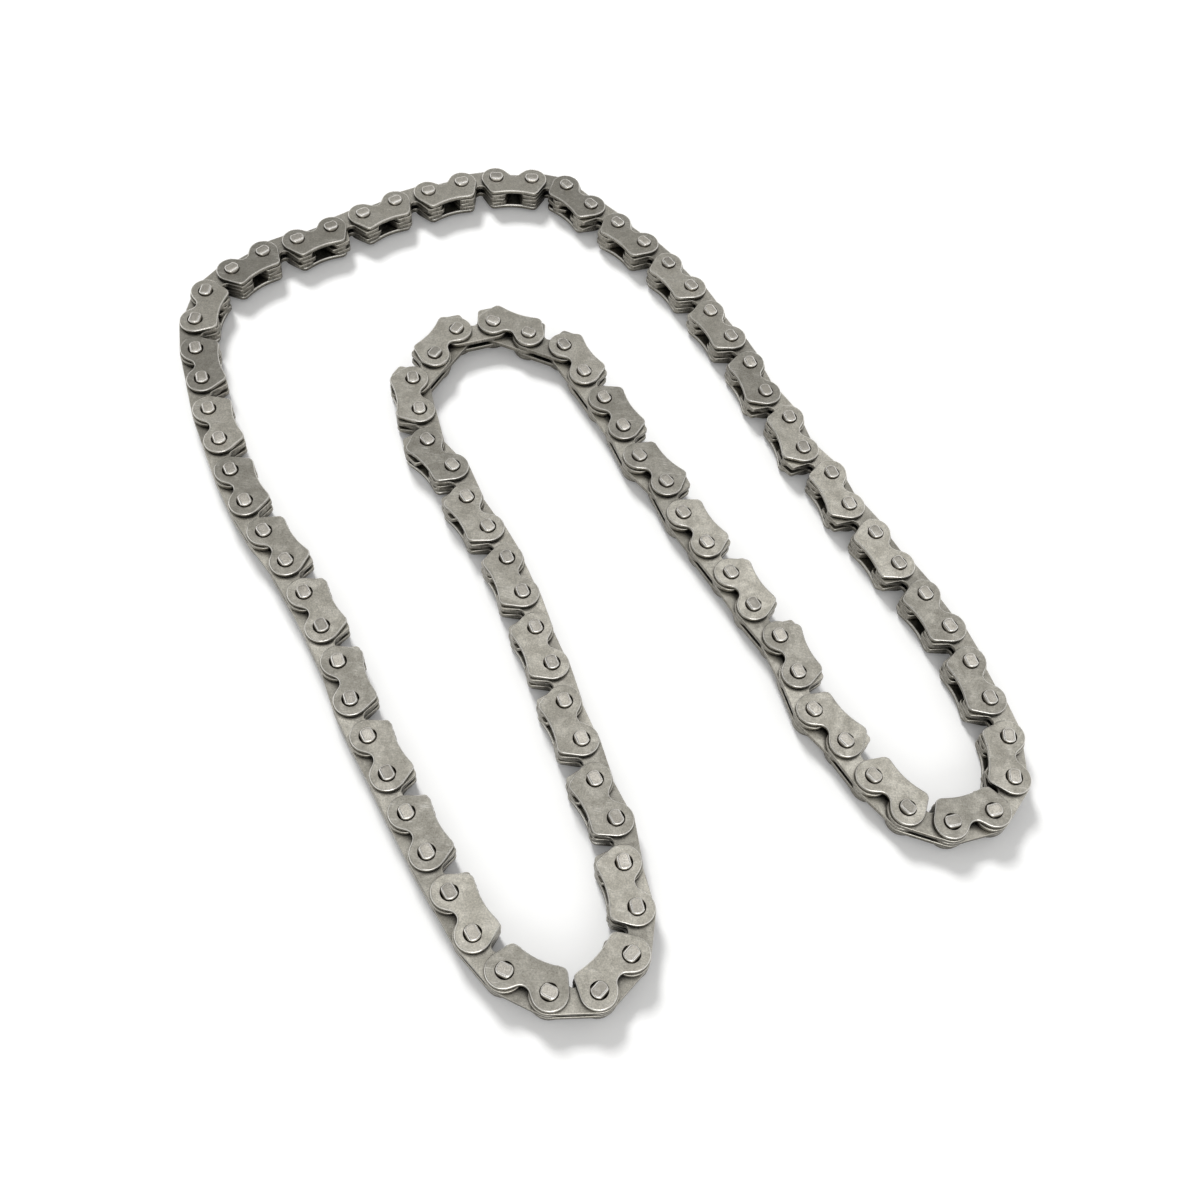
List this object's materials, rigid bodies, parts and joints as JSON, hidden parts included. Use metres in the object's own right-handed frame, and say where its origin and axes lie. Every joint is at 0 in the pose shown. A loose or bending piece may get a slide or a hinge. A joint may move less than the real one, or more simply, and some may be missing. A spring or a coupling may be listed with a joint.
{
  "type": "timing chain",
  "caption": "Endless toothed link timing chain in plain steel, lying folded on its side, with jointed runs of links.",
  "frame": {"origin": "centre of the laid-out loop in plan, at the lower ends of the pins", "axes": "+Z along the pins, up from the surface that the chain lies on; +Y along the longest side of the laid-out loop, away from the viewer; +X to the right"},
  "size_m": [0.1748, 0.189, 0.0066],
  "materials": {
    "guide_plates": "tumbled grey steel with bright rounded edges",
    "toothed_plates": "tumbled darker steel with bright rubbed edges",
    "pins": "bright ground steel with dull upset ends"
  },
  "bodies": {
    "top_run": {"top_run_guide_plates": "guide_plates", "top_run_middle_plates": "toothed_plates", "top_run_pins": "pins", "top_run_inner_plates": "toothed_plates"},
    "right_upper": {"right_upper_guide_plates": "guide_plates", "right_upper_middle_plates": "toothed_plates", "right_upper_pins": "pins", "right_upper_inner_plates": "toothed_plates"},
    "right_link": {"right_link_inner_plates": "toothed_plates"},
    "right_lower": {"right_lower_guide_plates": "guide_plates", "right_lower_middle_plates": "toothed_plates", "right_lower_pins": "pins", "right_lower_inner_plates": "toothed_plates"},
    "right_end": {"right_end_guide_plates": "guide_plates", "right_end_middle_plates": "toothed_plates", "right_end_pins": "pins", "right_end_inner_plates": "toothed_plates"},
    "inner_right_lower": {"inner_right_lower_guide_plates": "guide_plates", "inner_right_lower_middle_plates": "toothed_plates", "inner_right_lower_pins": "pins", "inner_right_lower_inner_plates": "toothed_plates"},
    "inner_right_link": {"inner_right_link_inner_plates": "toothed_plates"},
    "inner_right_upper": {"inner_right_upper_guide_plates": "guide_plates", "inner_right_upper_middle_plates": "toothed_plates", "inner_right_upper_pins": "pins", "inner_right_upper_inner_plates": "toothed_plates"},
    "inner_end": {"inner_end_guide_plates": "guide_plates", "inner_end_middle_plates": "toothed_plates", "inner_end_pins": "pins", "inner_end_inner_plates": "toothed_plates"},
    "inner_left_upper": {"inner_left_upper_guide_plates": "guide_plates", "inner_left_upper_middle_plates": "toothed_plates", "inner_left_upper_pins": "pins", "inner_left_upper_inner_plates": "toothed_plates"},
    "inner_left_link": {"inner_left_link_inner_plates": "toothed_plates"},
    "inner_left_lower": {"inner_left_lower_guide_plates": "guide_plates", "inner_left_lower_middle_plates": "toothed_plates", "inner_left_lower_pins": "pins", "inner_left_lower_inner_plates": "toothed_plates"},
    "left_end": {"left_end_guide_plates": "guide_plates", "left_end_middle_plates": "toothed_plates", "left_end_pins": "pins", "left_end_inner_plates": "toothed_plates"},
    "left_lower": {"left_lower_guide_plates": "guide_plates", "left_lower_middle_plates": "toothed_plates", "left_lower_pins": "pins", "left_lower_inner_plates": "toothed_plates"},
    "left_link": {"left_link_inner_plates": "toothed_plates"},
    "left_upper": {"left_upper_guide_plates": "guide_plates", "left_upper_middle_plates": "toothed_plates", "left_upper_pins": "pins", "left_upper_inner_plates": "toothed_plates"}
  },
  "joints": [
    {"name": "right_upper_hinge", "type": "hinge", "parent": "top_run", "child": "right_upper", "pos_m": [0.01132, 0.07094, 0.0033], "axis": [0, 0, 1], "range_deg": [-12, 12]},
    {"name": "right_link_hinge", "type": "hinge", "parent": "right_upper", "child": "right_link", "pos_m": [0.03474, 0.03871, 0.0033], "axis": [0, 0, 1], "range_deg": [-12, 12]},
    {"name": "right_lower_hinge", "type": "hinge", "parent": "right_link", "child": "right_lower", "pos_m": [0.03998, 0.03268, 0.0033], "axis": [0, 0, 1], "range_deg": [-20, 20]},
    {"name": "right_end_hinge", "type": "hinge", "parent": "right_lower", "child": "right_end", "pos_m": [0.06814, -0.0056, 0.0033], "axis": [0, 0, 1], "range_deg": [-20, 20]},
    {"name": "inner_right_lower_hinge", "type": "hinge", "parent": "right_end", "child": "inner_right_lower", "pos_m": [0.05898, -0.04525, 0.0033], "axis": [0, 0, 1], "range_deg": [-20, 20]},
    {"name": "inner_right_link_hinge", "type": "hinge", "parent": "inner_right_lower", "child": "inner_right_link", "pos_m": [0.03083, -0.00697, 0.0033], "axis": [0, 0, 1], "range_deg": [-20, 20]},
    {"name": "inner_right_upper_hinge", "type": "hinge", "parent": "inner_right_link", "child": "inner_right_upper", "pos_m": [0.02568, -0.00085, 0.0033], "axis": [0, 0, 1], "range_deg": [-12, 12]},
    {"name": "inner_end_hinge", "type": "hinge", "parent": "inner_right_upper", "child": "inner_end", "pos_m": [0.00189, 0.03096, 0.0033], "axis": [0, 0, 1], "range_deg": [-12, 12]},
    {"name": "left_upper_hinge", "type": "hinge", "parent": "top_run", "child": "left_upper", "pos_m": [-0.08183, 0.02879, 0.0033], "axis": [0, 0, 1], "range_deg": [-12, 12]},
    {"name": "left_link_hinge", "type": "hinge", "parent": "left_upper", "child": "left_link", "pos_m": [-0.06285, -0.00632, 0.0033], "axis": [0, 0, 1], "range_deg": [-12, 12]},
    {"name": "left_lower_hinge", "type": "hinge", "parent": "left_link", "child": "left_lower", "pos_m": [-0.05771, -0.01244, 0.0033], "axis": [0, 0, 1], "range_deg": [-12, 12]},
    {"name": "left_end_hinge", "type": "hinge", "parent": "left_lower", "child": "left_end", "pos_m": [-0.03429, -0.04467, 0.0033], "axis": [0, 0, 1], "range_deg": [-12, 12]},
    {"name": "inner_left_lower_hinge", "type": "hinge", "parent": "left_end", "child": "inner_left_lower", "pos_m": [0.01482, -0.06, 0.0033], "axis": [0, 0, 1], "range_deg": [-12, 12]},
    {"name": "inner_left_link_hinge", "type": "hinge", "parent": "inner_left_lower", "child": "inner_left_link", "pos_m": [-0.00416, -0.02489, 0.0033], "axis": [0, 0, 1], "range_deg": [-12, 12]},
    {"name": "inner_left_upper_hinge", "type": "hinge", "parent": "inner_left_link", "child": "inner_left_upper", "pos_m": [-0.00767, -0.0177, 0.0033], "axis": [0, 0, 1], "range_deg": [-12, 12]}
  ],
  "couplings": [
    {"joint": "right_link_hinge", "follows": "right_upper_hinge", "ratio": -1},
    {"joint": "right_end_hinge", "follows": "right_lower_hinge", "ratio": -1},
    {"joint": "inner_right_lower_hinge", "follows": "right_lower_hinge", "ratio": 1},
    {"joint": "inner_right_link_hinge", "follows": "right_lower_hinge", "ratio": -1},
    {"joint": "inner_end_hinge", "follows": "inner_right_upper_hinge", "ratio": -1},
    {"joint": "left_link_hinge", "follows": "left_upper_hinge", "ratio": -1},
    {"joint": "left_lower_hinge", "follows": "right_upper_hinge", "ratio": 1},
    {"joint": "left_end_hinge", "follows": "right_upper_hinge", "ratio": -1},
    {"joint": "inner_left_lower_hinge", "follows": "left_upper_hinge", "ratio": 1},
    {"joint": "inner_left_link_hinge", "follows": "left_upper_hinge", "ratio": -1},
    {"joint": "inner_left_upper_hinge", "follows": "inner_right_upper_hinge", "ratio": 1}
  ]
}
